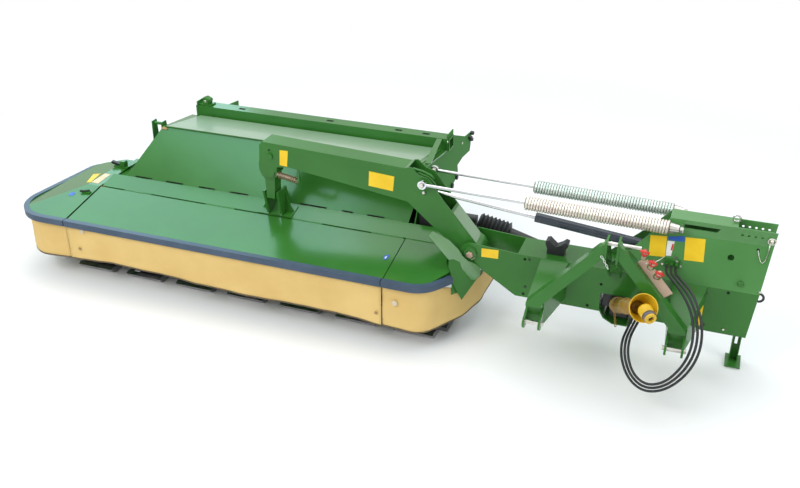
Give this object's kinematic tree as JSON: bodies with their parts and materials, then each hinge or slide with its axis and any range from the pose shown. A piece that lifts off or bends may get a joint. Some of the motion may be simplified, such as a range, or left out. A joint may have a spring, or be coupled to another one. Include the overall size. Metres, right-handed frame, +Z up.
{
  "type": "disc mower",
  "caption": "Rear-mounted disc mower with roller conditioner on a folding side boom, parked on skids and a stand, with cloth skirts, relief springs and a three-point headstock.",
  "frame": {"origin": "centre of the box round everything but the hoses, at ground level", "axes": "+X along the machine from its outer end towards the headstock, +Y to the rear away from the tractor, +Z up"},
  "size_m": [5.4097, 2.2696, 1.209],
  "materials": {
    "black_paint": "satin black paint",
    "casting": "painted casting",
    "chrome": "polished",
    "edge_strip": "blue-grey paint",
    "green_paint": "gloss green paint",
    "rubber": "matt black",
    "skirt_cloth": "coated cloth",
    "steel": "plain steel",
    "yellow_plastic": "yellow plastic",
    "zinc": "yellow zinc"
  },
  "bodies": {
    "headstock": {"beam": "green_paint", "tower": "green_paint", "headstock_frame": "green_paint", "hitch_pins": "zinc", "pivot_pins": "zinc", "rest_block": "rubber", "stand_guide": "green_paint", "hose_gland": "zinc", "hose_1": "rubber", "hose_2": "rubber", "hose_3": "rubber", "couplers": "zinc", "hose_holder": "green_paint", "gearbox": "black_paint", "drive_guard": "yellow_plastic", "inner_shaft": "zinc", "drive_shaft": "black_paint", "bellows": "rubber"},
    "stand": {"stand_leg": "green_paint"},
    "yoke": {"drive_yoke": "black_paint"},
    "boom": {"boom": "green_paint", "hook_spring": "zinc"},
    "cylinder_barrel": {"cylinder_barrel": "black_paint"},
    "cylinder_rod": {"cylinder_rod": "chrome"},
    "front_spring": {"front_spring": "zinc", "front_spring_seat": "zinc"},
    "front_spring_rod": {"front_spring_rod": "zinc"},
    "rear_spring": {"rear_spring": "zinc", "rear_spring_seat": "zinc"},
    "rear_spring_rod": {"rear_spring_rod": "zinc"},
    "mower": {"carrier": "green_paint", "cutterbar": "casting", "skids": "steel", "side_frames": "green_paint", "rear_bar": "green_paint", "hood": "green_paint", "deck": "green_paint", "pendulum_link": "green_paint", "deck_bracket": "green_paint", "right_guard": "green_paint", "right_strip": "edge_strip", "right_skirt": "skirt_cloth", "inner_shield": "green_paint", "inner_rail": "black_paint", "drive_head": "black_paint"},
    "front_cover": {"front_cover": "green_paint", "front_strip": "edge_strip", "front_skirt": "skirt_cloth"},
    "left_guard": {"left_guard": "green_paint", "left_strip": "edge_strip", "left_skirt": "skirt_cloth"},
    "lower_roller": {"lower_roller": "steel"},
    "upper_roller": {"upper_roller": "steel"},
    "disc_1": {"disc_1": "steel"},
    "disc_2": {"disc_2": "steel"},
    "disc_3": {"disc_3": "steel"},
    "disc_4": {"disc_4": "steel"},
    "disc_5": {"disc_5": "steel"},
    "disc_6": {"disc_6": "steel"},
    "disc_7": {"disc_7": "steel"}
  },
  "joints": [
    {"name": "boom_lift", "type": "hinge", "parent": "headstock", "child": "boom", "pos_m": [0.835, -0.411, 0.629], "axis": [0, 1, 0], "range_deg": [-5, 90], "deforming": ["bellows"]},
    {"name": "cylinder_swing", "type": "hinge", "parent": "headstock", "child": "cylinder_barrel", "pos_m": [2.148, -0.431, 0.831], "axis": [0, 1, 0], "range_deg": [-0.2, 2.8]},
    {"name": "cylinder_rod_slide", "type": "slide", "parent": "cylinder_barrel", "child": "cylinder_rod", "axis": [0.9948, 0, -0.1015], "range_m": [-0.0405, 0.7125]},
    {"name": "front_spring_swing", "type": "hinge", "parent": "headstock", "child": "front_spring", "pos_m": [2.116, -0.541, 1.05], "axis": [0, 1, 0], "range_deg": [-6.4, 0.45]},
    {"name": "front_spring_slide", "type": "slide", "parent": "front_spring", "child": "front_spring_rod", "axis": [0.9998, 0, -0.0203], "range_m": [-0.0448, 0.7985], "deforming": ["front_spring"]},
    {"name": "rear_spring_swing", "type": "hinge", "parent": "headstock", "child": "rear_spring", "pos_m": [2.116, -0.281, 1.05], "axis": [0, 1, 0], "range_deg": [-6.4, 0.45]},
    {"name": "rear_spring_slide", "type": "slide", "parent": "rear_spring", "child": "rear_spring_rod", "axis": [0.9998, 0, -0.0203], "range_m": [-0.0448, 0.7985], "deforming": ["rear_spring"]},
    {"name": "unit_float", "type": "hinge", "parent": "boom", "child": "mower", "pos_m": [-0.652, -0.411, 1.108], "axis": [0, 1, 0], "range_deg": [-0.7, 2.5]},
    {"name": "front_cover_hinge", "type": "hinge", "parent": "mower", "child": "front_cover", "pos_m": [-0.932, -0.437, 0.5975], "axis": [-1, 0, 0], "range_deg": [0, 65]},
    {"name": "left_guard_hinge", "type": "hinge", "parent": "mower", "child": "left_guard", "pos_m": [-2.205, -0.346, 0.5975], "axis": [0, 1, 0], "range_deg": [0, 90]},
    {"name": "stand_slide", "type": "slide", "parent": "headstock", "child": "stand", "axis": [0, 0, 1], "range_m": [0, 0.3]},
    {"name": "yoke_spin", "type": "hinge", "parent": "headstock", "child": "yoke", "pos_m": [2.028, -1.031, 0.75], "axis": [0.5374, -0.8305, -0.1466], "continuous": true},
    {"name": "disc_1_spin", "type": "hinge", "parent": "mower", "child": "disc_1", "pos_m": [-2.142, -0.531, 0.13], "axis": [0, 0, 1], "continuous": true},
    {"name": "disc_2_spin", "type": "hinge", "parent": "mower", "child": "disc_2", "pos_m": [-1.702, -0.531, 0.13], "axis": [0, 0, 1], "continuous": true},
    {"name": "disc_3_spin", "type": "hinge", "parent": "mower", "child": "disc_3", "pos_m": [-1.262, -0.531, 0.13], "axis": [0, 0, 1], "continuous": true},
    {"name": "disc_4_spin", "type": "hinge", "parent": "mower", "child": "disc_4", "pos_m": [-0.822, -0.531, 0.13], "axis": [0, 0, 1], "continuous": true},
    {"name": "disc_5_spin", "type": "hinge", "parent": "mower", "child": "disc_5", "pos_m": [-0.382, -0.531, 0.13], "axis": [0, 0, 1], "continuous": true},
    {"name": "disc_6_spin", "type": "hinge", "parent": "mower", "child": "disc_6", "pos_m": [0.058, -0.531, 0.13], "axis": [0, 0, 1], "continuous": true},
    {"name": "disc_7_spin", "type": "hinge", "parent": "mower", "child": "disc_7", "pos_m": [0.498, -0.531, 0.13], "axis": [0, 0, 1], "continuous": true},
    {"name": "lower_roller_spin", "type": "hinge", "parent": "mower", "child": "lower_roller", "pos_m": [-0.752, 0.069, 0.33], "axis": [1, 0, 0], "continuous": true},
    {"name": "upper_roller_spin", "type": "hinge", "parent": "mower", "child": "upper_roller", "pos_m": [-0.752, 0.159, 0.545], "axis": [1, 0, 0], "continuous": true}
  ],
  "couplings": [
    {"joint": "cylinder_swing", "follows": "boom_lift", "ratio": 0.029843},
    {"joint": "cylinder_rod_slide", "follows": "boom_lift", "m_per_rad": 0.45334},
    {"joint": "front_spring_swing", "follows": "boom_lift", "ratio": -0.069716},
    {"joint": "front_spring_slide", "follows": "boom_lift", "m_per_rad": 0.50804},
    {"joint": "rear_spring_swing", "follows": "boom_lift", "ratio": -0.069716},
    {"joint": "rear_spring_slide", "follows": "boom_lift", "m_per_rad": 0.50804},
    {"joint": "disc_2_spin", "follows": "disc_1_spin", "ratio": -1},
    {"joint": "disc_3_spin", "follows": "disc_1_spin", "ratio": 1},
    {"joint": "disc_4_spin", "follows": "disc_1_spin", "ratio": -1},
    {"joint": "disc_5_spin", "follows": "disc_1_spin", "ratio": 1},
    {"joint": "disc_6_spin", "follows": "disc_1_spin", "ratio": -1},
    {"joint": "disc_7_spin", "follows": "disc_1_spin", "ratio": 1},
    {"joint": "upper_roller_spin", "follows": "lower_roller_spin", "ratio": -1}
  ]
}
